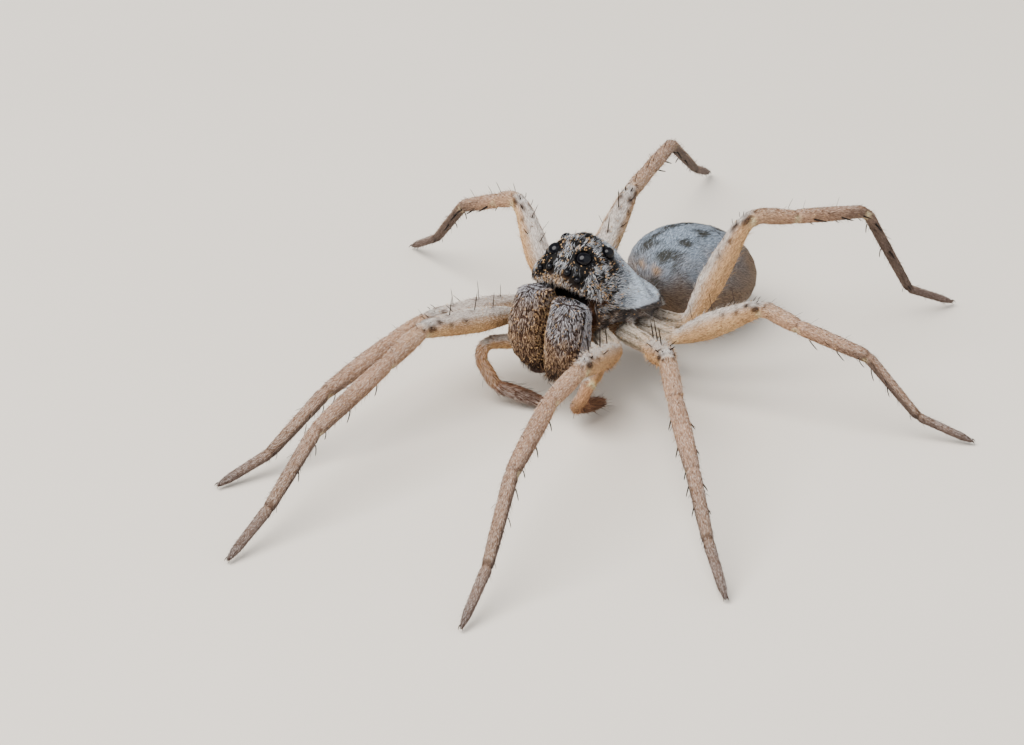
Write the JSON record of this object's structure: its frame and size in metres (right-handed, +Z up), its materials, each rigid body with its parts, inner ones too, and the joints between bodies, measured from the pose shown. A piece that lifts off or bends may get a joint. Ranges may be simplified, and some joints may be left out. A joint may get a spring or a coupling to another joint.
{
  "type": "wolf spider",
  "caption": "Life-size still model of a wolf spider, standing alert with its furred legs spread, its head held up and its stout jaws bulging below the eyes.",
  "frame": {"origin": "bottom centre of the whole spider's box, on the floor that its feet stand on", "axes": "+Z up; the spider faces -Y, so +Y runs from its head to its spinnerets and +X is its left side"},
  "size_m": [0.0356, 0.0484, 0.0089],
  "materials": {
    "carapace": "black and white scaly hairs over a dark shell",
    "eye": "polished black lens",
    "jaw": "grey hairs over dark brown, dusty",
    "fang": "glossy dark brown horn",
    "underside": "short tan hairs",
    "abdomen": "short blue-grey fur with dark mottling",
    "hip": "white hairs over cream skin",
    "femur": "pale fur, cream below and greyish above",
    "tibia": "pale pinkish tan fur",
    "foot": "brown-grey fur, darkest at the tip",
    "palp": "tan fur"
  },
  "bodies": {
    "root": {"abdomen": "abdomen", "carapace": "carapace", "chelicera_L": "jaw", "chelicera_R": "jaw", "eye_front_middle_L": "eye", "eye_front_middle_R": "eye", "eye_front_outer_L": "eye", "eye_front_outer_R": "eye", "eye_middle_L": "eye", "eye_middle_R": "eye", "eye_rear_L": "eye", "eye_rear_R": "eye", "fang_L": "fang", "fang_R": "fang", "labium": "underside", "leg_L1_coxa": "hip", "leg_L1_femur": "femur", "leg_L1_foot": "foot", "leg_L1_tibia": "tibia", "leg_L2_coxa": "hip", "leg_L2_femur": "femur", "leg_L2_foot": "foot", "leg_L2_tibia": "tibia", "leg_L3_coxa": "hip", "leg_L3_femur": "femur", "leg_L3_foot": "foot", "leg_L3_tibia": "tibia", "leg_L4_coxa": "hip", "leg_L4_femur": "femur", "leg_L4_foot": "foot", "leg_L4_tibia": "tibia", "leg_R1_coxa": "hip", "leg_R1_femur": "femur", "leg_R1_foot": "foot", "leg_R1_tibia": "tibia", "leg_R2_coxa": "hip", "leg_R2_femur": "femur", "leg_R2_foot": "foot", "leg_R2_tibia": "tibia", "leg_R3_coxa": "hip", "leg_R3_femur": "femur", "leg_R3_foot": "foot", "leg_R3_tibia": "tibia", "leg_R4_coxa": "hip", "leg_R4_femur": "femur", "leg_R4_foot": "foot", "leg_R4_tibia": "tibia", "maxilla_L": "underside", "maxilla_R": "underside", "palp_L_femur": "palp", "palp_L_tarsus": "palp", "palp_L_tibia": "palp", "palp_R_femur": "palp", "palp_R_tarsus": "palp", "palp_R_tibia": "palp", "pedicel": "underside", "spinnerets": "underside", "sternum": "underside"}
  },
  "joints": []
}
